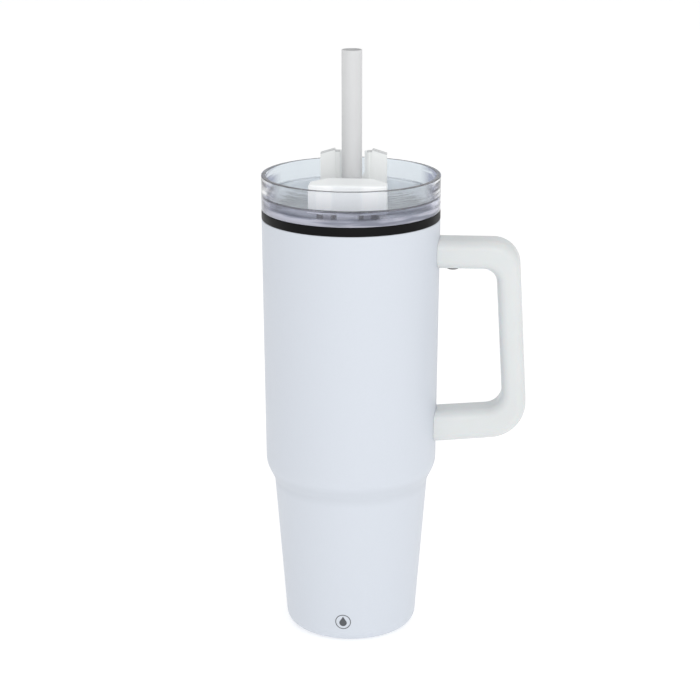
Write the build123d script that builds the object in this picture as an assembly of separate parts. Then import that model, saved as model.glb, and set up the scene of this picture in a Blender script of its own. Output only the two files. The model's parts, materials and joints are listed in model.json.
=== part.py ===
from build123d import *
import os

# Vacuum-insulated tumbler with a clear press-in lid, a straw and a side handle.
# Millimetres. +Z is up, the origin is the centre of the base on the cup's axis,
# the handle is on +X and the drinking side is -Y. One STEP file for each loose piece.

# ---- Cup: two steel walls with a vacuum between them -------------------------------
WALL = 0.6                # both steel walls
CUP_TOP = 236.5           # top of the steel rim
RIM_R = 48.9              # outer radius at the rim
UPPER_FOOT_R = 47.55      # outer radius where the wide upper body ends
UPPER_FOOT_Z = 96.7
NECK_R = 42.95            # outer radius where the cup-holder cone begins
NECK_Z = 87.4
BASE_R = 36.1             # cone carried down to the base plane
BASE_ROUND = 7.5
UPPER_ROUND = 15.0        # convex bend at the top of the shoulder
NECK_ROUND = 8.0          # concave bend under it
RIM_ROUND = 0.5
FOOT_RING_R = 26.5        # inner radius of the ring that the cup stands on

MOUTH_R = 45.4            # bore that the lid plugs into
MOUTH_Z = 224.0           # bottom of that bore
VACUUM_GAP = 2.7
LINER_FLOOR_Z = 13.0
LINER_BASE_FLARE = 1.2    # liner's cone at its floor, wider than the even gap would make it
LINER_BEND_LIFT = 0.8     # liner's two bends sit this far above the body's
LINER_NECK_DROP = 8.0     # liner starts to widen this far below the mouth's bore
LINER_ROUND = 7.0
FOIL_T = 0.2
FOIL_Z = (26.0, 212.0)

# ---- Base closure ------------------------------------------------------------------
PAN_R = 29.0              # welded flange of the bottom pan
PAN_RECESS_R = 26.0
PAN_RECESS_Z = 4.0
PORT_R = 2.0              # evacuation port in the pan
BEAD_R = 4.0
BEAD_T = 1.2
CAP_GAP = 0.2
CAP_Z = 0.8               # cover sits this far above the standing plane
CAP_T = 1.0
CAP_RIM_T = 1.6
GETTER_R = 4.5
GETTER_T = 3.1
GETTER_X = -18.0
GETTER_CLIP = (14.0, 6.0, 0.6)

# ---- Handle ------------------------------------------------------------------------
HANDLE_HALF_DEPTH = 10.5
HANDLE_EDGE_ROUND = 5.6
HANDLE_WALL = 2.4
HANDLE_GAP = 0.1          # between the arms and the painted body
ARM_ROOT_X = 44.0         # arms are drawn from inside the body, then trimmed to it
ARM_DEPTH_Y = 20.0        # cutting boxes reach this far to either side
UPPER_ARM_Z = (210.0, 226.0)
LOWER_ARM_Z = (110.2, 128.0)
GRIP_TOP_X = (79.9, 92.2)       # inner and outer face of the grip at the upper arm
GRIP_FOOT_X = (84.6, 98.6)      # the same at the lower arm
LOWER_ARM_RISE = (3.4, 5.3)     # how far its upper and lower face climb to the grip
GRIP_ROUND_UPPER = (7.5, 15.0)  # inner and outer corner
GRIP_ROUND_LOWER = (10.0, 20.5)

SCREW_X = 56.0
SCREW_R = 2.0
SCREW_HEAD_R = 3.5
SCREW_HEAD_H = 2.2
SCREW_HEAD_PROUD = (1.4, -0.4)   # heads stand this far below the upper and the lower arm
SCREW_LENGTH = 11.0
SCREW_CROSS = (4.2, 0.9, 2.4)  # driver recess: span, width, depth
BOSS_R = 4.6
BRACKET_T = 2.0
BRACKET_RISE = 8.4        # underside of the tab above the underside of the arm
BRACKET_HALF_W = 6.5
BRACKET_REACH_X = 62.0
BRACKET_FOOT_Z = (-4.5, 2.6)   # welded foot, below and above the tab

# ---- Lid ---------------------------------------------------------------------------
LID_R = 49.0
LID_TOP = 260.5
LID_WALL = 2.5
FLANGE_Z = 241.5          # underside of the clear flange
FLOOR_Z = (238.3, 240.7)
LEDGE_Z = 249.6           # thick lower part of the collar ends here
LEDGE_R = 44.6
SKIRT_R = (41.8, 44.0)
SKIRT_Z = 224.5
SEAL_SLEEVE_T = 0.6
SEAL_FIN_R = 45.1         # 0.3 clear of the bore, as the compressed fin is
SEAL_FIN_Z = (226.5, 229.5, 232.5)

STRAW_Y = 6.0
STRAW_R = 5.6
STRAW_BORE_R = 4.9
STRAW_Z = (17.0, 327.3)
GROMMET_R = 5.9
GROMMET_SEAT_R = 8.0
GROMMET_FLANGE_R = 9.5
GROMMET_FLANGE_T = 1.5
LEG_X = (10.5, 13.5)      # snap legs of the hinge's base
LEG_GAP = 0.2
LEG_REACH = 2.2           # below the lid's floor
LEG_HOOK = 1.8

# ---- Sliding closure of the drinking slot ------------------------------------------
SLIDER_TRAVEL = 10.0      # towards -Y
BLOCK_Z = (243.9, 259.5)
BLOCK_FRONT_Y = -27.0
BLOCK_BACK_Y = -6.5
BLOCK_HALF_W = 21.0
BLOCK_ROOF_T = 2.2
BLOCK_WALL = 3.0
TONGUE_HALF_W = 5.65
TONGUE_Y = (-26.6, -15.0)
RUNNING_GAP = 0.4         # tongue to slot, retainer to floor
SLOT_HALF_W = 6.3
SLOT_END_GAP = 0.9
GASKET_HALF_W = (7.0, 16.3)
RETAINER_HALF_W = 9.5
RETAINER_T = 2.0
STUB_HALF_W = 4.0         # post that carries the retainer
STUB_INSET_Y = 3.0
STUB_GAP = 0.05

# ---- Hinged straw lock -------------------------------------------------------------
HINGE_Y = 19.5
HINGE_Z = 246.0
PIN_R = 1.25
PIN_RUNNING_GAP = 0.05
PIN_HALF_L = 17.3
KNUCKLE_R = 3.0
EAR_R = 3.5
EAR_X = (15.3, 18.4)
FLAP_HALF_W = 18.4
FLAP_Y = (HINGE_Y - 1.5, HINGE_Y + 2.0)
FLAP_TOP_Z = (268.4, 270.8, 269.7)   # at the corners, at the peaks, between the peaks
FLAP_PEAK_X = 10.6
CHANNEL_HALF_W = 9.9
CHANNEL_DEPTH = 0.8
LINER_SLOT_HALF_W = 6.0              # clears the straw by 0.4
FLAP_SLOT_HALF_W = 7.4
RIB_T = 1.1                          # ribs on either side of the notch
HINGE_PLATE_Y = (HINGE_Y - 3.5, HINGE_Y + 6.0)
HINGE_PLATE_T = 1.9
LEG_Y = (HINGE_Y - 1.5, HINGE_Y + 1.5)


def profile(*corners):
    """Flat face through (x, y) corners; a third value in a corner rounds it."""
    face = make_face(Polyline(*[c[:2] for c in corners], close=True))
    for x, y, radius in (c for c in corners if len(c) == 3):
        face = fillet(face.vertices().sort_by_distance((x, y))[0], radius)
    return face


def turned(face):
    """Solid of revolution from a face drawn as radius and height."""
    return revolve(Plane.XZ * face, Axis.Z)


def offset_profile(face, amount):
    """Half profile moved out by an amount, or in if negative; it still ends on the axis."""
    whole = face + mirror(face, Plane.YZ)
    right_half = profile((0, -CUP_TOP), (CUP_TOP, -CUP_TOP), (CUP_TOP, 2 * CUP_TOP), (0, 2 * CUP_TOP))
    return offset(whole, amount) & right_half


def slab(x, y, z):
    """Box given by its limits on each axis."""
    size = (x[1] - x[0], y[1] - y[0], z[1] - z[0])
    return Pos(x[0], y[0], z[0]) * Box(*size, align=(Align.MIN, Align.MIN, Align.MIN))


def rod(radius, z, at=(0, 0)):
    """Vertical cylinder between two heights."""
    height = z[1] - z[0]
    return Pos(at[0], at[1], z[0]) * Cylinder(radius, height, align=(Align.CENTER, Align.CENTER, Align.MIN))


def rod_x(radius, x, at=(HINGE_Y, HINGE_Z)):
    """Cylinder along X between two places, by default on the hinge axis."""
    return Pos((x[0] + x[1]) / 2, at[0], at[1]) * Rot(0, 90, 0) * Cylinder(radius, x[1] - x[0])


def mirrored(shape):
    """The shape and its mirror image across the plane X = 0."""
    return shape + mirror(shape, Plane.YZ)


def save(shape, node):
    export_step(shape, f"parts/{node}.step")


os.makedirs("parts", exist_ok=True)

# ---- Steel walls -------------------------------------------------------------------

cup_face = profile(
    (0, 0), (BASE_R, 0, BASE_ROUND), (NECK_R, NECK_Z, NECK_ROUND),
    (UPPER_FOOT_R, UPPER_FOOT_Z, UPPER_ROUND), (RIM_R, CUP_TOP, RIM_ROUND), (0, CUP_TOP),
)
cup_blank = turned(cup_face)


def body_radius(z):
    """Outer radius of the upper body at a height."""
    share = (z - UPPER_FOOT_Z) / (CUP_TOP - UPPER_FOOT_Z)
    return UPPER_FOOT_R + share * (RIM_R - UPPER_FOOT_R)


# The liner follows the body at the vacuum gap and widens again to the mouth.
INSET = WALL + VACUUM_GAP
liner_neck_z = MOUTH_Z - LINER_NECK_DROP
liner_face = profile(
    (0, LINER_FLOOR_Z),
    (BASE_R - INSET + LINER_BASE_FLARE, LINER_FLOOR_Z, LINER_ROUND),
    (NECK_R - INSET, NECK_Z + LINER_BEND_LIFT, NECK_ROUND),
    (UPPER_FOOT_R - INSET, UPPER_FOOT_Z + LINER_BEND_LIFT, UPPER_ROUND),
    (body_radius(liner_neck_z) - INSET, liner_neck_z),
    (MOUTH_R + WALL, MOUTH_Z),
    (MOUTH_R + WALL, CUP_TOP),
    (0, CUP_TOP),
)
liner_inside = offset_profile(liner_face, -WALL)
mouth_opening = rod(MOUTH_R, (CUP_TOP - 2 * WALL, CUP_TOP))

outer_shell = cup_blank - turned(offset_profile(cup_face, -WALL))
outer_shell -= rod(MOUTH_R + WALL, (CUP_TOP - 2 * WALL, CUP_TOP))
outer_shell -= rod(FOOT_RING_R, (0, 2 * WALL))
inner_liner = turned(liner_face) - turned(liner_inside) - mouth_opening

foil_band = slab((-RIM_R, RIM_R), (-RIM_R, RIM_R), FOIL_Z)
insulating_foil = turned(offset_profile(liner_face, 2 * FOIL_T)) - turned(offset_profile(liner_face, FOIL_T))
insulating_foil &= foil_band

# ---- Base closure ------------------------------------------------------------------

pan_top = PAN_RECESS_Z + WALL
bottom_pan = turned(profile(
    (PORT_R, PAN_RECESS_Z), (PAN_RECESS_R, PAN_RECESS_Z), (PAN_RECESS_R, WALL), (PAN_R, WALL),
    (PAN_R, 2 * WALL), (PAN_RECESS_R + WALL, 2 * WALL), (PAN_RECESS_R + WALL, pan_top), (PORT_R, pan_top),
))
port_bead = rod(PORT_R - 0.05, (PAN_RECESS_Z, pan_top)) + turned(profile(
    (0, PAN_RECESS_Z - BEAD_T), (BEAD_R, PAN_RECESS_Z - BEAD_T, 0.9),
    (BEAD_R, PAN_RECESS_Z), (0, PAN_RECESS_Z),
))
cap_r = PAN_RECESS_R - CAP_GAP
base_cover = turned(profile(
    (0, CAP_Z), (cap_r, CAP_Z, 0.5), (cap_r, PAN_RECESS_Z), (cap_r - CAP_RIM_T, PAN_RECESS_Z),
    (cap_r - CAP_RIM_T, CAP_Z + CAP_T), (0, CAP_Z + CAP_T),
))
getter_clip = Pos(GETTER_X, 0, LINER_FLOOR_Z - GETTER_CLIP[2] / 2) * Box(*GETTER_CLIP)
getter_top = LINER_FLOOR_Z - GETTER_CLIP[2] + 0.1
getter = getter_clip + rod(GETTER_R, (getter_top - GETTER_T, getter_top), (GETTER_X, 0))

# ---- Handle ------------------------------------------------------------------------


def handle_face():
    """Side view of the handle: two arms and a slightly leaning grip."""
    return profile(
        (ARM_ROOT_X, UPPER_ARM_Z[1]),
        (GRIP_TOP_X[1], UPPER_ARM_Z[1], GRIP_ROUND_UPPER[1]),
        (GRIP_FOOT_X[1], LOWER_ARM_Z[0] + LOWER_ARM_RISE[1], GRIP_ROUND_LOWER[1]),
        (ARM_ROOT_X, LOWER_ARM_Z[0]),
        (ARM_ROOT_X, LOWER_ARM_Z[1]),
        (GRIP_FOOT_X[0], LOWER_ARM_Z[1] + LOWER_ARM_RISE[0], GRIP_ROUND_LOWER[0]),
        (GRIP_TOP_X[0], UPPER_ARM_Z[0], GRIP_ROUND_UPPER[0]),
        (ARM_ROOT_X, UPPER_ARM_Z[0]),
    )


def rounded_plate(face, half_depth, edge_round):
    """Side-view face given depth along Y, with its long edges rounded."""
    plate = extrude(Plane.XZ * face, half_depth, both=True)
    sides = plate.faces().filter_by(Axis.Y)
    root_edges = [e for e in sides.edges() if e.center().X < ARM_ROOT_X + edge_round]
    upright = [e for e in root_edges if abs(e.tangent_at(0.5).X) < 1e-3]
    long_edges = [e for e in sides.edges() if e not in upright]
    return fillet(long_edges, edge_round)


handle_outside = rounded_plate(handle_face(), HANDLE_HALF_DEPTH, HANDLE_EDGE_ROUND)
handle_inside = rounded_plate(
    offset(handle_face(), -HANDLE_WALL), HANDLE_HALF_DEPTH - HANDLE_WALL, HANDLE_EDGE_ROUND - HANDLE_WALL
)
grown_body = turned(offset_profile(cup_face, HANDLE_GAP))

arm_bottoms = (UPPER_ARM_Z[0], LOWER_ARM_Z[0] + LOWER_ARM_RISE[1] * 0.2)
handle_bosses = Part()
screw_holes = Part()
handle_screws = []
brackets = []
for bottom, proud in zip(arm_bottoms, SCREW_HEAD_PROUD):
    head_top = bottom - proud + SCREW_HEAD_H
    tab_z = (bottom + BRACKET_RISE, bottom + BRACKET_RISE + BRACKET_T)
    handle_bosses += rod(BOSS_R, (bottom - 2, tab_z[0] - 0.05), (SCREW_X, 0))
    screw_holes += rod(SCREW_R + 0.2, (bottom - 2, tab_z[1]), (SCREW_X, 0))
    screw_holes += rod(SCREW_HEAD_R + 0.2, (bottom - 2, head_top), (SCREW_X, 0))

    head = rod(SCREW_HEAD_R, (head_top - SCREW_HEAD_H, head_top), (SCREW_X, 0))
    head = fillet(head.edges().sort_by(Axis.Z)[0], 0.8)
    span, width, depth = SCREW_CROSS
    cross = Box(span, width, depth) + Box(width, span, depth)
    shank = rod(SCREW_R, (head_top - 0.5, head_top + SCREW_LENGTH), (SCREW_X, 0))
    handle_screws.append(head + shank - Pos(SCREW_X, 0, head_top - SCREW_HEAD_H) * cross)

    foot_z = (tab_z[0] + BRACKET_FOOT_Z[0], tab_z[1] + BRACKET_FOOT_Z[1])
    tab = slab((ARM_ROOT_X, BRACKET_REACH_X), (-BRACKET_HALF_W, BRACKET_HALF_W), tab_z)
    foot = slab((ARM_ROOT_X, RIM_R + BRACKET_T), (-BRACKET_HALF_W, BRACKET_HALF_W), foot_z)
    brackets.append(tab + foot - cup_blank - rod(SCREW_R + 0.02, tab_z, (SCREW_X, 0)))

handle_hollow = handle_outside - handle_inside + (handle_bosses & handle_outside) - screw_holes - grown_body
handle_reach = (ARM_ROOT_X - 1, 2 * RIM_R + ARM_DEPTH_Y)
handle_front = handle_hollow & slab(handle_reach, (-ARM_DEPTH_Y, 0), (0, CUP_TOP))
handle_rear = handle_hollow & slab(handle_reach, (0, ARM_DEPTH_Y), (0, CUP_TOP))

# ---- Clear lid ---------------------------------------------------------------------

lid_inner_r = LID_R - LID_WALL
lid_body = turned(profile(
    (0, FLOOR_Z[1]), (LEDGE_R, FLOOR_Z[1], 2.8), (LEDGE_R, LEDGE_Z - 0.9), (lid_inner_r, LEDGE_Z + 0.4),
    (lid_inner_r, LID_TOP, 0.9), (LID_R, LID_TOP, 1.3), (LID_R, FLANGE_Z, 1.2), (SKIRT_R[1], FLANGE_Z),
    (SKIRT_R[1], SKIRT_Z, 0.8), (SKIRT_R[0], SKIRT_Z, 0.6), (SKIRT_R[0], FLOOR_Z[0], 1.2), (0, FLOOR_Z[0]),
))
slot_y = (TONGUE_Y[0] - SLIDER_TRAVEL - SLOT_END_GAP, TONGUE_Y[1] + RUNNING_GAP)
through_floor_z = (FLOOR_Z[0] - 1, FLOOR_Z[1] + 1)
drink_slot = slab((-SLOT_HALF_W, SLOT_HALF_W), slot_y, through_floor_z)
drink_slot = fillet(drink_slot.edges().filter_by(Axis.Z), 2.0)
leg_windows = mirrored(slab(
    (LEG_X[0] - LEG_GAP, LEG_X[1] + LEG_GAP), (LEG_Y[0] - LEG_GAP, LEG_Y[1] + LEG_HOOK - 0.6), through_floor_z
))
straw_seat = rod(GROMMET_SEAT_R, through_floor_z, (0, STRAW_Y))
lid_body -= drink_slot + leg_windows + straw_seat

sleeve_r = SKIRT_R[1] + SEAL_SLEEVE_T
lid_seal = turned(profile(
    (SKIRT_R[1], FLANGE_Z), (LID_R - 0.1, FLANGE_Z, 0.4), (LID_R - 0.1, CUP_TOP, 0.4), (sleeve_r, CUP_TOP),
    (sleeve_r, SKIRT_Z + 1), (SKIRT_R[1], SKIRT_Z + 1),
))
for z in SEAL_FIN_Z:
    lid_seal += turned(profile(
        (sleeve_r - 0.2, z - 0.9), (SEAL_FIN_R, z), (SEAL_FIN_R, z + 0.4), (sleeve_r - 0.2, z + 0.7)
    ))

straw_grommet = turned(profile(
    (GROMMET_R, FLOOR_Z[0] - GROMMET_FLANGE_T), (GROMMET_FLANGE_R, FLOOR_Z[0] - GROMMET_FLANGE_T, 0.6),
    (GROMMET_FLANGE_R, FLOOR_Z[0]), (GROMMET_SEAT_R, FLOOR_Z[0]), (GROMMET_SEAT_R, FLOOR_Z[1]),
    (GROMMET_FLANGE_R, FLOOR_Z[1]), (GROMMET_FLANGE_R, FLOOR_Z[1] + GROMMET_FLANGE_T, 0.6),
    (GROMMET_R, FLOOR_Z[1] + GROMMET_FLANGE_T, 0.5),
))
straw_grommet = Pos(0, STRAW_Y, 0) * straw_grommet

straw = rod(STRAW_R, STRAW_Z, (0, STRAW_Y)) - rod(STRAW_BORE_R, STRAW_Z, (0, STRAW_Y))
straw = fillet(straw.edges(), 0.25)

# ---- Sliding closure ---------------------------------------------------------------

right_side = [(7.0, BLOCK_FRONT_Y), (16.4, BLOCK_FRONT_Y + 0.6), (BLOCK_HALF_W, BLOCK_FRONT_Y + 1.6),
              (BLOCK_HALF_W, BLOCK_BACK_Y - 10.4), (12.2, BLOCK_BACK_Y)]
block_plan = right_side + [(-x, y) for x, y in reversed(right_side)]
slider_block = extrude(Pos(0, 0, BLOCK_Z[0]) * profile(*block_plan), BLOCK_Z[1] - BLOCK_Z[0])
slider_block = fillet(slider_block.edges().filter_by(Axis.Z), 0.8)
slider_block = fillet(slider_block.edges().group_by(Axis.Z)[-1], 1.3)
core_back_y = BLOCK_BACK_Y - BLOCK_WALL
core = profile((9.5, BLOCK_FRONT_Y + BLOCK_WALL), (18.8, BLOCK_FRONT_Y + BLOCK_WALL + 0.6),
               (18.8, BLOCK_BACK_Y - 9.4), (13.0, core_back_y), (9.5, core_back_y))
slider_block -= mirrored(extrude(Pos(0, 0, BLOCK_Z[0]) * core, BLOCK_Z[1] - BLOCK_Z[0] - BLOCK_ROOF_T))

retainer_top = FLOOR_Z[0] - RUNNING_GAP
retainer_z = (retainer_top - RETAINER_T, retainer_top)
stub_y = (TONGUE_Y[0] + STUB_INSET_Y, TONGUE_Y[1] - STUB_INSET_Y)
tongue = slab((-TONGUE_HALF_W, TONGUE_HALF_W), TONGUE_Y, (retainer_top, BLOCK_Z[0]))
tongue = fillet(tongue.edges().filter_by(Axis.Z), 1.2)
stub = slab((-STUB_HALF_W, STUB_HALF_W), stub_y, (retainer_z[0] - 0.6, retainer_top))
slider_block += tongue + stub

gasket_z = (FLOOR_Z[1] + RUNNING_GAP, BLOCK_Z[0])
slider_gasket = slab((-GASKET_HALF_W[1], GASKET_HALF_W[1]), (BLOCK_FRONT_Y + 1, BLOCK_BACK_Y - 2.5), gasket_z)
slider_gasket = fillet(slider_gasket.edges().filter_by(Axis.Z), 2.0)
slider_gasket -= slab((-GASKET_HALF_W[0], GASKET_HALF_W[0]), (BLOCK_FRONT_Y, TONGUE_Y[1] + 1.4), gasket_z)

slider_retainer = slab((-RETAINER_HALF_W, RETAINER_HALF_W), TONGUE_Y, retainer_z)
slider_retainer = fillet(slider_retainer.edges().filter_by(Axis.Z), 2.0)
stub_hole_x = (-STUB_HALF_W - STUB_GAP, STUB_HALF_W + STUB_GAP)
slider_retainer -= slab(stub_hole_x, (stub_y[0] - STUB_GAP, stub_y[1] + STUB_GAP), retainer_z)

# ---- Hinged straw lock -------------------------------------------------------------

base_plate = slab((-EAR_X[1], EAR_X[1]), HINGE_PLATE_Y, (FLOOR_Z[1], FLOOR_Z[1] + HINGE_PLATE_T))
ear = slab(EAR_X, (HINGE_Y - EAR_R, HINGE_Y + EAR_R), (FLOOR_Z[1], HINGE_Z)) + rod_x(EAR_R, EAR_X)
ear -= rod_x(PIN_R, (EAR_X[0], PIN_HALF_L))
leg_z = (FLOOR_Z[0] - LEG_REACH, FLOOR_Z[1] + 1)
leg = slab(LEG_X, LEG_Y, leg_z)
hook_top = FLOOR_Z[0] - 0.1
hook = extrude(Plane.YZ * profile(
    (LEG_Y[1] - 0.5, hook_top), (LEG_Y[1] + LEG_HOOK, hook_top),
    (LEG_Y[1], leg_z[0]), (LEG_Y[1] - 0.5, leg_z[0]),
), LEG_X[1] - LEG_X[0])
hinge_base = base_plate + mirrored(ear) + mirrored(leg + Pos(LEG_X[0], 0, 0) * hook)

hinge_pin = rod_x(PIN_R, (-PIN_HALF_L, PIN_HALF_L))

# The panel is narrow between the ears and full width above them.
neck_half_w = EAR_X[0] - RUNNING_GAP
shoulder_z = HINGE_Z + EAR_R + 0.8
right_edge = [(CHANNEL_HALF_W, FLAP_TOP_Z[2]), (FLAP_PEAK_X, FLAP_TOP_Z[1]), (FLAP_HALF_W, FLAP_TOP_Z[0]),
              (FLAP_HALF_W, shoulder_z), (neck_half_w, shoulder_z), (neck_half_w, HINGE_Z)]
flap_outline = right_edge + [(-x, z) for x, z in reversed(right_edge)]


def across(face, y):
    """Front-view face given thickness between two Y limits."""
    return Pos(0, y[1], 0) * extrude(Plane.XZ * face, y[1] - y[0])


def straw_notch(half_w, end_r):
    """Front view of the notch that closes round the straw; it is open at the top."""
    reach_z = HINGE_Z + HINGE_Y - STRAW_Y
    return Pos(0, reach_z) * (Circle(end_r) + Pos(0, 10) * Rectangle(2 * half_w, 20))


panel = across(profile(*flap_outline), FLAP_Y)
panel = fillet(panel.edges().group_by(Axis.Z)[-1] + panel.edges().filter_by(Axis.Y), 0.35)
channel_z = (shoulder_z + 1, FLAP_TOP_Z[1] + 1)
panel -= slab((-CHANNEL_HALF_W, CHANNEL_HALF_W), (FLAP_Y[0], FLAP_Y[0] + CHANNEL_DEPTH), channel_z)
rib_x = (FLAP_SLOT_HALF_W + 0.2, FLAP_SLOT_HALF_W + 0.2 + RIB_T)
rib_z = (channel_z[0], FLAP_TOP_Z[2] - 0.4)
panel += mirrored(slab(rib_x, (FLAP_Y[0], FLAP_Y[0] + CHANNEL_DEPTH), rib_z))
knuckle = rod_x(KNUCKLE_R, (-neck_half_w, neck_half_w))
flap = panel + knuckle - across(straw_notch(FLAP_SLOT_HALF_W, FLAP_SLOT_HALF_W), FLAP_Y)
flap -= rod_x(PIN_R + PIN_RUNNING_GAP, (-neck_half_w, neck_half_w))

liner_outline = straw_notch(FLAP_SLOT_HALF_W, FLAP_SLOT_HALF_W)
liner_outline -= straw_notch(LINER_SLOT_HALF_W, LINER_SLOT_HALF_W + 0.2)
liner_y = (FLAP_Y[0] + CHANNEL_DEPTH / 2, FLAP_Y[1])
flap_liner = across(liner_outline, liner_y)
flap_liner &= slab((-FLAP_HALF_W, FLAP_HALF_W), liner_y, (HINGE_Z, FLAP_TOP_Z[2] - 0.2))

# ---- Write every piece -------------------------------------------------------------

pieces = {
    "outer_shell": outer_shell,
    "inner_liner": inner_liner,
    "insulating_foil": insulating_foil,
    "bottom_pan": bottom_pan,
    "vacuum_port_bead": port_bead,
    "getter": getter,
    "base_cover": base_cover,
    "handle_front_half": handle_front,
    "handle_rear_half": handle_rear,
    "handle_bracket_upper": brackets[0],
    "handle_bracket_lower": brackets[1],
    "handle_screws": Compound(children=[s.solid() for s in handle_screws]),
    "lid_body": lid_body,
    "lid_seal": lid_seal,
    "straw_grommet": straw_grommet,
    "hinge_base": hinge_base,
    "flap_hinge_pin": hinge_pin,
    "slider_block": slider_block,
    "slider_gasket": slider_gasket,
    "slider_retainer": slider_retainer,
    "flap": flap,
    "flap_liner": flap_liner,
    "straw": straw,
}
for node, shape in pieces.items():
    save(shape, node)

print("inside volume to the rim, litres:", round(turned(liner_inside).volume / 1e6, 3))
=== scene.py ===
import json
import math
import bmesh
import bpy
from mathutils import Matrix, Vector


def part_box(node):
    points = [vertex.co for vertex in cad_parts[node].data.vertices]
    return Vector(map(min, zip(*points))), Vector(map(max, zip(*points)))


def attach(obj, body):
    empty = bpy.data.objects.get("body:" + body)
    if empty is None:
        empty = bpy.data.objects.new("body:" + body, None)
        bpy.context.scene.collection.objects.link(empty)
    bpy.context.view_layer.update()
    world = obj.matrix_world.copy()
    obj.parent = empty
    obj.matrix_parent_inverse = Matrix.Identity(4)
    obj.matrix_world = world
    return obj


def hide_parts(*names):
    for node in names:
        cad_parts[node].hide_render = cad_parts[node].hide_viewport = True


# Looks of the tumbler, in metres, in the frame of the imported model. Lengths below are in
# millimetres and are turned into metres when a mesh is made.

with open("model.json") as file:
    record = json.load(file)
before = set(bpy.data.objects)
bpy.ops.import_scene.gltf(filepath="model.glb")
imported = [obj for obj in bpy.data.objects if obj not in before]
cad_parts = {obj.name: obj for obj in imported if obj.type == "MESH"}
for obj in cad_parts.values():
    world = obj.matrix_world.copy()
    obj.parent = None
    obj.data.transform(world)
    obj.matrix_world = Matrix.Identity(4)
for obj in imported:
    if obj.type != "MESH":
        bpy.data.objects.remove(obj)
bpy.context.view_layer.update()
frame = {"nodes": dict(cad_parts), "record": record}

MM = 0.001
TURN_STEPS = 224          # facets around a turned piece
ARC_STEP = math.radians(7)
SMOOTH_BELOW = math.radians(34)

# ---- Dimensions shared with the frame ----------------------------------------------
RIM_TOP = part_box("outer_shell")[1].z / MM
RIM_R, UPPER_FOOT, NECK, BASE_R = 48.9, (47.55, 96.7), (42.95, 87.4), 36.1
UPPER_ROUND, NECK_ROUND, BASE_ROUND, RIM_ROUND = 15.0, 8.0, 7.5, 0.5
FOOT_RING_R = 26.5
STEEL = 0.6
MOUTH_R = 45.4

ARM_ROOT_X = 44.0
HANDLE_OUTSIDE = ((ARM_ROOT_X, 226.0), (92.2, 226.0, 15.0), (98.6, 115.5, 20.5), (ARM_ROOT_X, 110.2))
HANDLE_INSIDE = ((ARM_ROOT_X, 210.0), (79.9, 210.0, 7.5), (84.6, 131.4, 10.0), (ARM_ROOT_X, 128.0))
HANDLE_HALF_DEPTH = -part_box("handle_front_half")[0].y / MM
HANDLE_EDGE_ROUND = 5.6
HANDLE_GAP = 0.1
SEAM = 0.12               # half width and depth of the groove where the handle's halves meet
SCREW_X, SCREW_HOLE_R = 56.0, 3.7
SCREW_HOLES = ((210.0, 210.8), (111.26, 113.86))   # underside of each arm, top of its hole

LID_R, LID_WALL, LID_TOP = 49.0, 2.5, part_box("lid_body")[1].z / MM
LID_INNER_R = LID_R - LID_WALL
FLANGE_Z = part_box("lid_seal")[1].z / MM
FLOOR_Z = (238.3, 240.7)
LEDGE_R, LEDGE_Z = 44.6, 249.6
SKIRT_R, SKIRT_Z = (41.8, 44.0), 224.5
SLOT_HALF_W, SLOT_Y, SLOT_ROUND = 6.3, (-37.5, -14.6), 2.0
LEG_WINDOW_X, LEG_WINDOW_Y = (10.3, 13.7), (17.8, 22.2)
SLEEVE_R = SKIRT_R[1] + 0.6
FIN_R, FIN_Z = 45.1, (232.5, 229.5, 226.5)
BAND_R = LID_R - 0.1
RELIEF = 0.02             # keeps faces of touching pieces apart, so that light finds one before the other
STRAW_Y, GROMMET_SEAT_R = 6.0, 8.0
STRAW_R, STRAW_BORE_R = 5.6, 4.9
MARK_Z, MARK_TURN = 12.9, math.radians(-2.4)
MARK_R, MARK_LINE, MARK_DROP_R = 4.4, 0.45, 2.1
MARK_SKINS = (0.02, 0.06)  # underside and top of the ink, above the paint


# ---- Outlines ----------------------------------------------------------------------


def arc(before, corner, after, radius, steps):
    """Points of the arc that rounds a corner between its two neighbours."""
    here = Vector(corner[:2])
    come = (here - Vector(before[:2])).normalized()
    leave = (Vector(after[:2]) - here).normalized()
    turn = come.angle_signed(leave)
    if abs(turn) < 1e-6 or radius < 1e-6:
        return [here.copy() for _ in range((steps or 1) + 1)]
    reach = radius * math.tan(abs(turn) / 2)
    side = Vector((-come.y, come.x)) * (-1 if turn > 0 else 1)
    centre = here - come * reach + side * radius
    arm = -side * radius
    steps = steps or max(2, math.ceil(abs(turn) / ARC_STEP))
    points = []
    for i in range(steps + 1):
        angle = -turn * i / steps
        c, s = math.cos(angle), math.sin(angle)
        points.append(centre + Vector((arm.x * c - arm.y * s, arm.x * s + arm.y * c)))
    return points


def rounded(corners, closed=True, steps=None):
    """Points along (x, y[, radius]) corners, with an arc in each corner that has a radius."""
    points = []
    count = len(corners)
    for i, corner in enumerate(corners):
        inner = closed or 0 < i < count - 1
        if inner and len(corner) == 3:
            points += arc(corners[i - 1], corner, corners[(i + 1) % count], corner[2], steps)
        else:
            points.append(Vector(corner[:2]))
    return points


def inset(corners, amount):
    """An open path of (x, y[, radius]) corners moved to its right-hand side; its radii change with it."""
    lines = []
    for a, b in zip(corners, corners[1:]):
        along = (Vector(b[:2]) - Vector(a[:2])).normalized()
        lines.append((Vector(a[:2]) + Vector((along.y, -along.x)) * amount, along))
    start = lines[0][0]
    last, along = lines[-1]
    end = last + along * (Vector(corners[-1][:2]) - Vector(corners[-2][:2])).length
    moved = [tuple(start)]
    for (p, u), (q, v), corner in zip(lines, lines[1:], corners[1:]):
        across = u.x * v.y - u.y * v.x
        step = q - p
        meet = p + u * ((step.x * v.y - step.y * v.x) / across)
        moved.append((meet.x, meet.y, corner[2] - amount))
    return moved + [tuple(end)]


# ---- Meshes ------------------------------------------------------------------------


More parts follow.
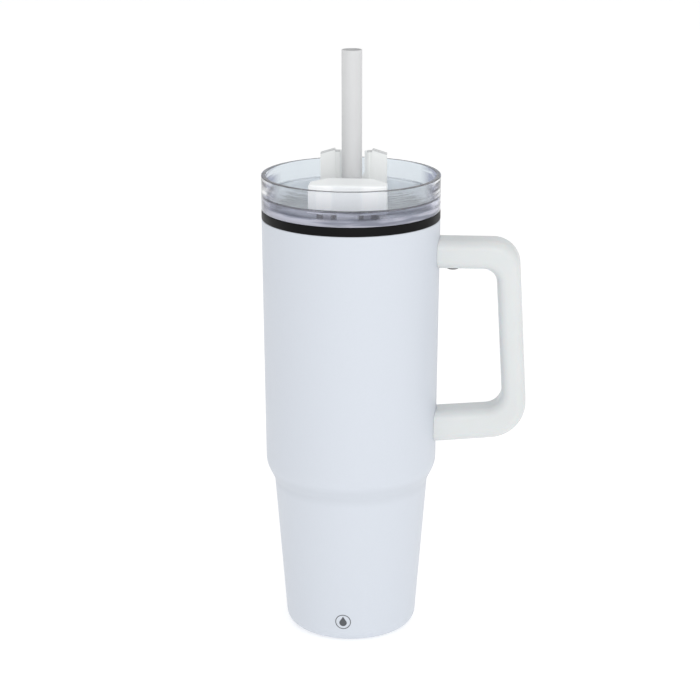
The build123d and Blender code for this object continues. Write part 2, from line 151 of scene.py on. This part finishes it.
def shade(mesh):
    """Smooth shading except across real edges."""
    mesh.shade_smooth()
    mesh.set_sharp_from_angle(angle=SMOOTH_BELOW)


def new_object(name, bm):
    """An object from a bmesh, which is used up."""
    mesh = bpy.data.meshes.new(name)
    bmesh.ops.recalc_face_normals(bm, faces=bm.faces)
    bm.to_mesh(mesh)
    bm.free()
    shade(mesh)
    made = bpy.data.objects.new(name, mesh)
    bpy.context.scene.collection.objects.link(made)
    return made


def vertex(bm, x, y, z):
    """A vertex at a place in millimetres."""
    return bm.verts.new((x * MM, y * MM, z * MM))


def lathe(name, outline, at=(0.0, 0.0), turns=TURN_STEPS):
    """A turned piece from a closed outline of radius and height."""
    bm = bmesh.new()
    rings = []
    for radius, height in outline:
        angles = [2 * math.pi * i / turns for i in range(turns if radius > 1e-6 else 1)]
        rings.append([
            vertex(bm, at[0] + radius * math.cos(a), at[1] + radius * math.sin(a), height) for a in angles
        ])
    for ring, following in zip(rings, rings[1:] + rings[:1]):
        if len(ring) == 1 and len(following) == 1:
            continue
        for i in range(turns):
            j = (i + 1) % turns
            corners = [ring[i % len(ring)], ring[j % len(ring)],
                       following[j % len(following)], following[i % len(following)]]
            bm.faces.new(list(dict.fromkeys(corners)))
    return new_object(name, bm)


def prism(name, outline, bottom, top):
    """A vertical prism over a closed plan outline."""
    bm = bmesh.new()
    low, high = ([vertex(bm, x, y, z) for x, y in outline] for z in (bottom, top))
    bm.faces.new(low)
    bm.faces.new(high)
    count = len(outline)
    for i in range(count):
        j = (i + 1) % count
        bm.faces.new((low[i], low[j], high[j], high[i]))
    return new_object(name, bm)


def cut(piece, *cutters):
    """Takes the cutters out of a piece and removes them."""
    for cutter in cutters:
        modifier = piece.modifiers.new("cut", "BOOLEAN")
        modifier.operation = "DIFFERENCE"
        modifier.solver = "EXACT"
        modifier.object = cutter
    bpy.context.view_layer.update()
    graph = bpy.context.evaluated_depsgraph_get()
    mesh = bpy.data.meshes.new_from_object(piece.evaluated_get(graph))
    piece.modifiers.clear()
    old = piece.data
    piece.data = mesh
    mesh.name = piece.name
    bpy.data.meshes.remove(old)
    for cutter in cutters:
        bpy.data.objects.remove(cutter)
    shade(mesh)
    return piece


# ---- Materials ---------------------------------------------------------------------


def surface(name, base, roughness, **more):
    """A Principled material; more gives other sockets by name, with _ for a space."""
    material = bpy.data.materials.new(name)
    material.use_nodes = True
    shader = material.node_tree.nodes["Principled BSDF"]
    shader.inputs["Base Color"].default_value = (*base, 1.0)
    shader.inputs["Roughness"].default_value = roughness
    for socket, value in more.items():
        shader.inputs[socket.replace("_", " ")].default_value = value
    return material


def link(material, source, socket):
    """Joins two sockets; the name of a socket stands for one of the Principled shader's."""
    if isinstance(socket, str):
        socket = material.node_tree.nodes["Principled BSDF"].inputs[socket]
    material.node_tree.links.new(source, socket)


def add_noise(material, scale, detail=4.0, stretch=(1.0, 1.0, 1.0)):
    """Noise over the piece's own coordinates; scale counts features for each metre."""
    nodes = material.node_tree.nodes
    place = nodes.new("ShaderNodeTexCoord")
    mapping = nodes.new("ShaderNodeMapping")
    mapping.inputs["Scale"].default_value = stretch
    noise = nodes.new("ShaderNodeTexNoise")
    noise.inputs["Scale"].default_value = scale
    noise.inputs["Detail"].default_value = detail
    link(material, place.outputs["Object"], mapping.inputs["Vector"])
    link(material, mapping.outputs["Vector"], noise.inputs["Vector"])
    return noise.outputs["Fac"]


def vary_roughness(material, fac, low, high):
    """Roughness that wanders between two values."""
    spread = material.node_tree.nodes.new("ShaderNodeMapRange")
    spread.inputs["From Min"].default_value = 0.3
    spread.inputs["From Max"].default_value = 0.7
    spread.inputs["To Min"].default_value = low
    spread.inputs["To Max"].default_value = high
    link(material, fac, spread.inputs["Value"])
    link(material, spread.outputs["Result"], "Roughness")


def vary_colour(material, fac, one, other):
    """Base colour that wanders between two tones."""
    ramp = material.node_tree.nodes.new("ShaderNodeValToRGB")
    for element, position, colour in zip(ramp.color_ramp.elements, (0.35, 0.65), (one, other)):
        element.position = position
        element.color = (*colour, 1.0)
    link(material, fac, ramp.inputs["Fac"])
    link(material, ramp.outputs["Color"], "Base Color")


def add_bump(material, fac, strength, height_mm):
    """Bump of a given height from a noise."""
    bump = material.node_tree.nodes.new("ShaderNodeBump")
    bump.inputs["Strength"].default_value = strength
    bump.inputs["Distance"].default_value = height_mm * MM
    link(material, fac, bump.inputs["Height"])
    link(material, bump.outputs["Normal"], "Normal")


def tone(colour, factor):
    return tuple(min(1.0, c * factor) for c in colour)


def along(material, axis, stops, smooth=True):
    """A value that follows a coordinate of the piece: stops are (millimetres, colour or number)."""
    nodes = material.node_tree.nodes
    place = nodes.new("ShaderNodeTexCoord")
    split = nodes.new("ShaderNodeSeparateXYZ")
    spread = nodes.new("ShaderNodeMapRange")
    ramp = nodes.new("ShaderNodeValToRGB")
    first, last = stops[0][0], stops[-1][0]
    spread.inputs["From Min"].default_value = first * MM
    spread.inputs["From Max"].default_value = last * MM
    ramp.color_ramp.interpolation = "EASE" if smooth else "LINEAR"
    while len(ramp.color_ramp.elements) < len(stops):
        ramp.color_ramp.elements.new(1.0)
    for element, (at, value) in zip(ramp.color_ramp.elements, stops):
        element.position = (at - first) / (last - first)
        element.color = (*value, 1.0) if isinstance(value, tuple) else (value, value, value, 1.0)
    link(material, place.outputs["Object"], split.inputs["Vector"])
    link(material, split.outputs[axis], spread.inputs["Value"])
    link(material, spread.outputs["Result"], ramp.inputs["Fac"])
    return ramp.outputs["Color"]


def mirrored(stops):
    """Stops for both sides of the middle plane, from those of the right-hand side."""
    return [(-at, value) for at, value in reversed(stops)] + stops


def blend(material, fac, one, other):
    """A colour between two, each given as a colour or a socket."""
    mix = material.node_tree.nodes.new("ShaderNodeMix")
    mix.data_type = "RGBA"
    link(material, fac, mix.inputs["Factor"])
    colour_inputs = [socket for socket in mix.inputs if socket.type == "RGBA"]
    for value, socket in zip((one, other), colour_inputs):
        if isinstance(value, tuple):
            socket.default_value = (*value, 1.0)
        else:
            link(material, value, socket)
    return next(socket for socket in mix.outputs if socket.type == "RGBA")


def combine(material, operation, one, other):
    """Two values put together by a Math node."""
    result = material.node_tree.nodes.new("ShaderNodeMath")
    result.operation = operation
    link(material, one, result.inputs[0])
    link(material, other, result.inputs[1])
    return result.outputs[0]


def product(material, one, other):
    return combine(material, "MULTIPLY", one, other)


def contrast(material, fac, low, high):
    """Spreads a value between two limits over 0 to 1."""
    spread = material.node_tree.nodes.new("ShaderNodeMapRange")
    spread.inputs["From Min"].default_value = low
    spread.inputs["From Max"].default_value = high
    link(material, fac, spread.inputs["Value"])
    return spread.outputs["Result"]


def powder_coat():
    """Satin powder coat: orange peel and a faint fleck, with painted shade that makes it a little darker in
    the bend under the shoulder.
    """
    colour = (0.604, 0.640, 0.698)
    material = surface("powder_coat_white", colour, 0.42, Specular_IOR_Level=0.4)
    fleck = blend(material, add_noise(material, 900, 3), tone(colour, 0.985), tone(colour, 1.015))
    # Painted shade: a darker band of the coat's colour in the bend under the shoulder.
    painted_shoulder_shade = along(material, "Z", [(82, 0.0), (87, 1.0), (91, 1.0), (96, 0.0)])
    link(material, blend(material, painted_shoulder_shade, fleck, tone(colour, 0.945)), "Base Color")
    vary_roughness(material, add_noise(material, 60, 3), 0.38, 0.47)
    add_bump(material, add_noise(material, 2600, 4), 0.35, 0.03)
    return material


def moulded(name, colour, low, high, grain=1500, height=0.02, **more):
    """Injection-moulded plastic with a fine mould grain."""
    material = surface(name, colour, (low + high) / 2, **more)
    vary_colour(material, add_noise(material, 35, 2), tone(colour, 0.985), tone(colour, 1.01))
    vary_roughness(material, add_noise(material, 90, 3), low, high)
    add_bump(material, add_noise(material, grain, 3), 0.3, height)
    return material


def clear_plastic():
    """Clear copolyester: polished collar over a frosted floor and ledge, with painted light and shade in its
    tints: darker blue-grey towards the rear, a painted dark reflection edge-on, a painted darker ledge,
    painted shade over the front of the floor, and a painted paler rear of floor and ledge.
    """
    material = surface("clear_copolyester", (0.93, 0.95, 0.98), 0.02, IOR=1.45, Transmission_Weight=1.0)
    streaks = add_noise(material, 34, 3, (1.0, 1.0, 13.0))

    # Each zone is 1 inside: the floor, all above it, the thick ledge, and the rear of floor and ledge.
    low, high = FLOOR_Z[1] + 0.3, LEDGE_Z
    floor = along(material, "Z", [(low - 0.4, 1.0), (low, 0.0)])
    above_floor = along(material, "Z", [(low - 0.2, 0.0), (low + 0.2, 1.0)])
    ledge = along(material, "Z", [(low - 0.2, 0.0), (low + 0.2, 1.0), (high - 0.2, 1.0), (high + 0.2, 0.0)],
                  smooth=False)
    rear_ledge = product(
        material, along(material, "Y", [(0, 0.0), (20, 1.0)]),
        along(material, "Z", [(low - 0.4, 0.0), (low + 0.2, 1.0), (high - 0.2, 1.0), (high + 0.6, 0.0)]))
    rear_floor = product(material, along(material, "Y", [(16, 0.0), (32, 1.0)]), floor)
    painted_front_floor_shade = product(material, along(material, "Y", [(10, 0.5), (28, 0.0)]), floor)

    # Mask of the painted reflection: streaks where the plastic is seen edge-on, above the floor.
    edge_on = material.node_tree.nodes.new("ShaderNodeLayerWeight")
    edge_on.inputs["Blend"].default_value = 0.5
    edge_reflection_mask = product(material, contrast(material, edge_on.outputs["Facing"], 0.42, 0.60),
                      contrast(material, streaks, 0.34, 0.50))
    edge_reflection_mask = product(material, edge_reflection_mask, above_floor)
    # Painted shade towards the rear, and a painted dark blue reflection edge-on.
    front_tint, painted_rear_shade, painted_edge_reflection = (0.965, 0.975, 0.99), (0.73, 0.785, 0.83), (0.19, 0.205, 0.30)
    colour = blend(material, edge_reflection_mask, along(material, "Y", [(-25, front_tint), (30, painted_rear_shade)]), painted_edge_reflection)
    # Painted shade on the thick ledge: darker grey in streaks.
    painted_ledge_shade = blend(material, contrast(material, streaks, 0.42, 0.58),
                       (0.76, 0.77, 0.88), (0.36, 0.38, 0.47))
    colour = blend(material, ledge, colour, painted_ledge_shade)
    # Painted light and shade on floor and ledge: paler at the rear, darker over the front of the floor.
    for zone, tint in ((rear_ledge, (0.88, 0.94, 1.0)), (rear_floor, (0.94, 0.97, 1.0)),
                       (painted_front_floor_shade, (0.52, 0.56, 0.60))):
        colour = blend(material, zone, colour, tint)
    link(material, colour, "Base Color")

    # How clear it is, from below the floor up through the ledge's two halves to the collar's rim.
    floor_clear, low_clear, high_clear, collar_clear = 0.76, 0.55, 0.92, 0.97
    clear = along(material, "Z", [
        (235, floor_clear), (240.5, floor_clear), (low, low_clear), (244.8, low_clear),
        (245.6, high_clear), (249.2, high_clear), (249.8, collar_clear), (262, 1.0)], smooth=False)
    # The rear zones painted paler are also made less clear.
    for zone, level in ((rear_ledge, 0.45), (rear_floor, 0.35)):
        clear = blend(material, zone, clear, (level, level, level))
    link(material, clear, "Transmission Weight")
    vary_roughness(material, add_noise(material, 120, 2), 0.01, 0.035)
    add_bump(material, streaks, 0.6, 0.35)
    return material


def metal(name, colour, low, high, stretch=(1.0, 1.0, 40.0), scale=120, height=0.004):
    """Brushed or drawn metal; the grain runs across the direction of the stretch."""
    material = surface(name, colour, (low + high) / 2, Metallic=1.0)
    grain = add_noise(material, scale, 5, stretch)
    vary_roughness(material, grain, low, high)
    vary_colour(material, add_noise(material, 25, 2), tone(colour, 0.96), tone(colour, 1.03))
    add_bump(material, grain, 0.25, height)
    return material


# Painted light: the white lid plastic and the flap's liner glow a little, though they are no lamps.
PAINTED_LID_GLOW = {"Emission_Color": (0.95, 0.98, 1.0, 1.0), "Emission_Strength": 0.05}
MATERIALS = {
    "powder_coat": powder_coat(),
    "steel": metal("brushed_stainless", (0.78, 0.78, 0.79), 0.28, 0.42),
    "foil": metal("wrapped_foil", (0.82, 0.82, 0.83), 0.12, 0.30, (1.0, 1.0, 1.0), 260, 0.15),
    "sealing_glass": moulded("fused_glass_bead", (0.25, 0.20, 0.12), 0.08, 0.16, 700, 0.02),
    "getter_metal": metal("sintered_getter", (0.35, 0.35, 0.36), 0.45, 0.60, (1.0, 1.0, 1.0), 1800, 0.05),
    "handle_plastic": moulded("handle_plastic_white", (0.650, 0.672, 0.675), 0.28, 0.38,
                              Subsurface_Weight=0.08, Subsurface_Scale=0.004),
    "screw_steel": metal("blackened_screw", (0.10, 0.09, 0.09), 0.35, 0.50, (1.0, 1.0, 1.0), 900, 0.01),
    "clear_plastic": clear_plastic(),
    "black_silicone": moulded("black_silicone_rubber", (0.0025, 0.0025, 0.003), 0.42, 0.55, 1100, 0.03,
                              Specular_IOR_Level=0.12),
    "clear_silicone": moulded("translucent_silicone", (0.72, 0.72, 0.73), 0.35, 0.50, 1100, 0.02,
                              Subsurface_Weight=0.5, Subsurface_Scale=0.004),
    "lid_plastic": moulded("lid_plastic_white", (0.915, 0.930, 0.925), 0.30, 0.42, 1300, 0.02, **PAINTED_LID_GLOW),
    "straw_plastic": moulded("frosted_straw", (0.625, 0.630, 0.635), 0.34, 0.46, 1200, 0.02),
}


def variant(slot, name, **more):
    """A copy of a slot's material; more gives other sockets by name, with _ for a space."""
    material = MATERIALS[slot].copy()
    material.name = name
    for socket, value in more.items():
        material.node_tree.nodes["Principled BSDF"].inputs[socket.replace("_", " ")].default_value = value
    return material


def block_plastic():
    """The front block's colour carries painted light and shade: its two broad facets are painted lighter, and
    its top is painted darker.
    """
    # Painted light: the block glows more strongly than the rest of the lid plastic.
    material = variant("lid_plastic", "lid_plastic_block", Emission_Strength=0.12)
    middle, broad, end = (0.84, 0.86, 0.87), (0.965, 0.975, 0.975), (0.90, 0.915, 0.915)
    top = (0.72, 0.74, 0.745)
    front = mirrored([(7.0, middle), (9.0, broad), (16.2, broad), (16.8, end), (21.0, end)])
    # Painted light and shade across the front facets.
    painted_facet_tones = along(material, "X", front, smooth=False)
    round_foot, round_top = 258.4, 259.3
    # Painted shade on the top.
    painted_top_shade = along(material, "Z", [(round_foot, 0.0), (round_top, 1.0)])
    link(material, blend(material, painted_top_shade, painted_facet_tones, top), "Base Color")
    return material


def flap_plastic():
    """The flap's top edge carries painted shade, a little darker than the panel; it follows the two peaks."""
    material = variant("lid_plastic", "lid_plastic_flap")
    low, peaks = 260.8, 270.8      # heights between which a depth runs from 1 to 0
    span = peaks - low
    outline = mirrored([(9.9, 1.1 / span), (10.6, 0.0), (18.4, 2.4 / span)])
    below_peaks = along(material, "Z", [(low, 1.0), (peaks, 0.0)], smooth=False)
    depth = combine(material, "SUBTRACT", below_peaks, along(material, "X", outline, smooth=False))
    # Painted shade: the band along the top edge is darker than the panel.
    edge, panel = (0.60, 0.61, 0.61), (0.90, 0.915, 0.905)
    link(material, blend(material, contrast(material, depth, 0.06, 0.11), edge, panel), "Base Color")
    return material


def gasket_silicone():
    """The pads under the block carry painted shadow, near black along their edges beside the slot and at
    their outer ends.
    """
    material = variant("clear_silicone", "gasket_silicone", Subsurface_Weight=0.0)
    painted_shadow, pale = (0.02, 0.02, 0.022), (0.50, 0.50, 0.52)
    # Painted shadow: near-black bands along the pads' edges.
    pad = [(7.0, painted_shadow), (8.4, painted_shadow), (9.0, pale), (12.2, pale), (13.0, painted_shadow), (16.4, painted_shadow)]
    link(material, along(material, "X", mirrored(pad), smooth=False), "Base Color")
    return material


OWN_LOOKS = {
    "slider_block": block_plastic(),
    "flap": flap_plastic(),
    "flap_liner": moulded("liner_silicone", (0.86, 0.88, 0.88), 0.35, 0.50, 1100, 0.02, **PAINTED_LID_GLOW),
    "slider_gasket": gasket_silicone(),
}


def finish_as(piece, slot):
    """Gives a new piece the material of a slot."""
    piece.data.materials.clear()
    piece.data.materials.append(MATERIALS[slot])


def stands_for(piece, node, slot, body):
    """A new piece that is shown in place of a CAD node."""
    finish_as(piece, slot)
    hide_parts(node)
    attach(piece, body)
    return piece


# ---- Cup ---------------------------------------------------------------------------


def cup_shell():
    """The painted outer wall: cup-holder cone, shoulder, upper body and rolled rim."""
    outside = [(FOOT_RING_R, 0.0, 0.25), (BASE_R, 0.0, BASE_ROUND), (*NECK, NECK_ROUND),
               (*UPPER_FOOT, UPPER_ROUND), (RIM_R, RIM_TOP, RIM_ROUND)]
    inside = [(MOUTH_R + STEEL, RIM_TOP), (MOUTH_R + STEEL, RIM_TOP - STEEL),
              (RIM_R - STEEL, RIM_TOP - STEEL),
              (UPPER_FOOT[0] - STEEL, UPPER_FOOT[1], UPPER_ROUND - STEEL),
              (NECK[0] - STEEL, NECK[1], NECK_ROUND),
              (BASE_R - STEEL, STEEL, BASE_ROUND - STEEL), (FOOT_RING_R, STEEL)]
    return lathe("cup_shell", rounded(outside + inside))


def mark_outline():
    """Plan of the printed mark: a water drop inside a ring, as closed outlines of (across, up)."""
    circle_steps, drop_steps = 72, 48
    taper, rise, sink = 0.55, 0.75, 0.25     # how the drop's tip narrows and rises, and the drop is lowered
    circle = []
    for i in range(circle_steps):
        angle = 2 * math.pi * i / circle_steps
        circle.append((math.cos(angle), math.sin(angle)))
    drop = []
    for i in range(drop_steps):
        angle = 2 * math.pi * i / drop_steps
        sharpen = max(0.0, math.sin(angle)) ** 3
        drop.append((MARK_DROP_R * math.cos(angle) * (1 - taper * sharpen),
                     MARK_DROP_R * (math.sin(angle) * (1 + rise * sharpen) - sink)))
    outer = [(MARK_R * x, MARK_R * y) for x, y in circle]
    inner = [((MARK_R - MARK_LINE) * x, (MARK_R - MARK_LINE) * y) for x, y in circle]
    return outer, inner, drop


def printed_mark():
    """Thin ink laid on the foot's cone, just clear of the paint."""
    bm = bmesh.new()

    def on_cone(across, up, lift):
        z = MARK_Z + up
        radius = BASE_R + (NECK[0] - BASE_R) * z / NECK[1] + lift
        angle = MARK_TURN + across / radius
        return vertex(bm, radius * math.sin(angle), -radius * math.cos(angle), z)

    outer, inner, drop = ([[on_cone(*point, lift) for point in outline] for lift in MARK_SKINS]
                          for outline in mark_outline())
    rows = [outer, (outer[1], inner[1]), (inner[1], inner[0]), (inner[0], outer[0]), drop]
    for one, other in rows:
        for i in range(len(one)):
            j = (i + 1) % len(one)
            bm.faces.new((one[i], one[j], other[j], other[i]))
    for row, lift in zip(drop, MARK_SKINS):
        middle = on_cone(0, 0, lift)
        for i in range(len(row)):
            bm.faces.new((row[i], row[(i + 1) % len(row)], middle))
    return new_object("printed_mark", bm)


def body_radius(z):
    """Outer radius of the upper body at a height."""
    share = (z - UPPER_FOOT[1]) / (RIM_TOP - UPPER_FOOT[1])
    return UPPER_FOOT[0] + share * (RIM_R - UPPER_FOOT[0])


def meet_body(end, neighbour, y):
    """Slides the end of an arm's line to the body's surface, at a distance y from the middle plane."""
    slope = (end[1] - neighbour[1]) / (end[0] - neighbour[0])
    z = end[1]
    for _ in range(4):
        x = math.sqrt((body_radius(z) + HANDLE_GAP) ** 2 - y * y)
        z = neighbour[1] + (x - neighbour[0]) * slope
    return x, z


def handle_line(path, amount, y, straight_steps=14, arc_steps=20):
    """Points along one long line of the handle's surface, from the upper root to the lower one."""
    corners = inset(path, amount)
    corners[0] = meet_body(corners[0], corners[1], y)
    corners[-1] = meet_body(corners[-1], corners[-2], y)
    bends = rounded(corners, closed=False, steps=arc_steps)
    stops = [0, 1, arc_steps + 1, arc_steps + 2, 2 * arc_steps + 2, 2 * arc_steps + 3]
    points = []
    for k, (a, b) in enumerate(zip(stops, stops[1:])):
        is_bend = k % 2 == 1
        if is_bend:
            points += bends[a:b]
        else:
            points += [bends[a].lerp(bends[b], i / straight_steps) for i in range(straight_steps)]
    return [(p.x, y, p.y) for p in points + [bends[-1]]]


def handle_half(name, side):
    """One moulded half of the handle, on the -Y side if side is -1."""
    flat = HANDLE_HALF_DEPTH - HANDLE_EDGE_ROUND
    bend_steps = 10
    section = [(SEAM, 0.0), (0.0, SEAM), (0.0, flat / 2)]
    for i in range(bend_steps + 1):
        angle = math.pi / 2 * i / bend_steps
        section.append((HANDLE_EDGE_ROUND * (1 - math.cos(angle)),
                        flat + HANDLE_EDGE_ROUND * math.sin(angle)))
    lines = [handle_line(HANDLE_OUTSIDE, depth, y) for depth, y in section]
    lines += [handle_line(HANDLE_INSIDE, -depth, y) for depth, y in reversed(section)]
    bm = bmesh.new()
    columns = [[vertex(bm, x, side * y, z) for x, y, z in line] for line in lines]
    for column, following in zip(columns, columns[1:] + columns[:1]):
        for i in range(len(column) - 1):
            bm.faces.new((column[i], column[i + 1], following[i + 1], following[i]))
    bm.faces.new([column[0] for column in columns])
    bm.faces.new([column[-1] for column in columns])
    half = new_object(name, bm)
    holes = []
    for underside, top in SCREW_HOLES:
        drum = [(0, underside - 2), (SCREW_HOLE_R, underside - 2), (SCREW_HOLE_R, top), (0, top)]
        holes.append(lathe("hole", drum, (SCREW_X, 0), 48))
    return cut(half, *holes)


# ---- Lid ---------------------------------------------------------------------------


def clear_lid():
    """The clear cup-shaped lid: collar, ledge, floor and plug skirt in one moulding."""
    floor_top, floor_bottom = FLOOR_Z[1] - RELIEF, FLOOR_Z[0] + RELIEF
    skirt_out = SKIRT_R[1] - RELIEF
    return lathe("clear_lid", rounded([
        (0, floor_top), (LEDGE_R, floor_top, 2.8),
        (LEDGE_R, LEDGE_Z - 0.9, 0.4), (LID_INNER_R, LEDGE_Z + 0.4, 0.4),
        (LID_INNER_R, LID_TOP, 0.35), (LID_R, LID_TOP, 0.5), (LID_R, FLANGE_Z + RELIEF, 0.6),
        (skirt_out, FLANGE_Z + RELIEF, 0.3), (skirt_out, SKIRT_Z, 0.8), (SKIRT_R[0], SKIRT_Z, 0.6),
        (SKIRT_R[0], floor_bottom, 1.2), (0, floor_bottom),
    ]))


def lid_cutters():
    """The drinking slot, the straw's seat and the two windows for the hinge's legs."""
    low, high = FLOOR_Z[0] - 1, FLOOR_Z[1] + 1
    front, back = SLOT_Y
    slot = rounded([(-SLOT_HALF_W, front, SLOT_ROUND), (SLOT_HALF_W, front, SLOT_ROUND),
                    (SLOT_HALF_W, back, SLOT_ROUND), (-SLOT_HALF_W, back, SLOT_ROUND)])
    drum_r = GROMMET_SEAT_R + RELIEF
    seat = lathe("seat", [(0, low), (drum_r, low), (drum_r, high), (0, high)], (0, STRAW_Y), 64)
    near, far = LEG_WINDOW_Y
    windows = []
    for side in (-1, 1):
        inner, outer = (side * x for x in LEG_WINDOW_X)
        windows.append(prism("window", [(inner, near), (outer, near), (outer, far), (inner, far)], low, high))
    return [prism("slot", slot, low, high), seat, *windows]


def seal_ring():
    """The black silicone seal: a band under the lid's flange, a sleeve and three fins."""
    bore_r, foot_z = SKIRT_R[1] + RELIEF, SKIRT_Z + 1
    fins = []
    for z in FIN_Z:
        fins += [(SLEEVE_R, z + 0.7), (FIN_R, z + 0.4, 0.15), (FIN_R, z, 0.15), (SLEEVE_R, z - 0.9)]
    return lathe("seal_ring", rounded([
        (bore_r, FLANGE_Z, 0.1), (BAND_R, FLANGE_Z, 0.45), (BAND_R, RIM_TOP, 0.45),
        (SLEEVE_R, RIM_TOP), *fins, (SLEEVE_R, foot_z, 0.2), (bore_r, foot_z, 0.2),
    ]))


def straw_tube():
    """The frosted straw with softly rounded ends."""
    low, high = (corner.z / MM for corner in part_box("straw"))
    lip = 0.3
    ends = [(STRAW_BORE_R, low, lip), (STRAW_R, low, lip), (STRAW_R, high, lip), (STRAW_BORE_R, high, lip)]
    return lathe("straw_tube", rounded(ends), (0, STRAW_Y), 96)


# ---- Assembly ----------------------------------------------------------------------

stands_for(cup_shell(), "outer_shell", "powder_coat", "cup")
mark = printed_mark()
mark.data.materials.append(moulded("printed_ink", (0.075, 0.08, 0.09), 0.4, 0.5, 1500, 0.005))
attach(mark, "cup")
stands_for(handle_half("handle_shell_front", -1), "handle_front_half", "handle_plastic", "cup")
stands_for(handle_half("handle_shell_rear", 1), "handle_rear_half", "handle_plastic", "cup")
stands_for(cut(clear_lid(), *lid_cutters()), "lid_body", "clear_plastic", "lid")
stands_for(seal_ring(), "lid_seal", "black_silicone", "lid")
stands_for(straw_tube(), "straw", "straw_plastic", "straw")

SLOT_OF = {part["node"]: part["material_slot"] for part in frame["record"]["subparts"]}
for node, carried in frame["nodes"].items():
    carried.data.materials.clear()
    carried.data.materials.append(OWN_LOOKS.get(node, MATERIALS[SLOT_OF[node]]))

# ---- Studio ------------------------------------------------------------------------


def studio_floor():
    """A wide white floor that glows a little, as a lit acrylic table does."""
    half_size_m = 40.0
    bm = bmesh.new()
    bmesh.ops.create_grid(bm, x_segments=2, y_segments=2, size=half_size_m)
    floor = new_object("studio_floor", bm)
    floor.data.materials.append(surface(
        "studio_white", (0.70, 0.70, 0.70), 0.6, Specular_IOR_Level=0.2,
        Emission_Color=(1.0, 1.0, 1.0, 1.0), Emission_Strength=0.45))


def softbox(name, at, towards, size, watts):
    """A square area light; places and size are in metres."""
    lamp = bpy.data.lights.new(name, "AREA")
    lamp.shape = "SQUARE"
    lamp.size = size
    lamp.energy = watts
    box = bpy.data.objects.new(name, lamp)
    bpy.context.scene.collection.objects.link(box)
    box.location = at
    box.rotation_euler = (Vector(towards) - Vector(at)).to_track_quat("-Z", "Y").to_euler()


def surroundings(strength):
    """Even white light from all around."""
    world = bpy.data.worlds.new("studio")
    bpy.context.scene.world = world
    world.use_nodes = True
    background = world.node_tree.nodes["Background"]
    background.inputs["Color"].default_value = (1.0, 1.0, 1.0, 1.0)
    background.inputs["Strength"].default_value = strength


def camera():
    """A long lens, a little to the right of the front, that looks down on the tumbler."""
    turn, pitch = math.radians(4.5), math.radians(16.27)
    distance, height = 1.137, 0.4925
    picture_px = 700      # the shift is one pixel of a picture this wide
    lens = bpy.data.cameras.new("camera")
    lens.lens = 109.4
    lens.sensor_width = 36.0
    lens.shift_x = -1 / picture_px
    eye = bpy.data.objects.new("camera", lens)
    bpy.context.scene.collection.objects.link(eye)
    eye.location = (distance * math.sin(turn), -distance * math.cos(turn), height)
    eye.rotation_euler = (math.pi / 2 - pitch, 0.0, turn)
    bpy.context.scene.camera = eye


studio_floor()
surroundings(0.75)
softbox("overhead", (0.0, 0.2, 2.0), (0.0, 0.0, 0.1), 2.4, 4)
softbox("front", (0.3, -2.0, 1.0), (0.0, 0.0, 0.15), 1.6, 12)
softbox("side", (1.6, -1.2, 0.9), (0.0, 0.0, 0.15), 1.2, 3.5)
camera()
bpy.context.scene.view_settings.view_transform = "Standard"
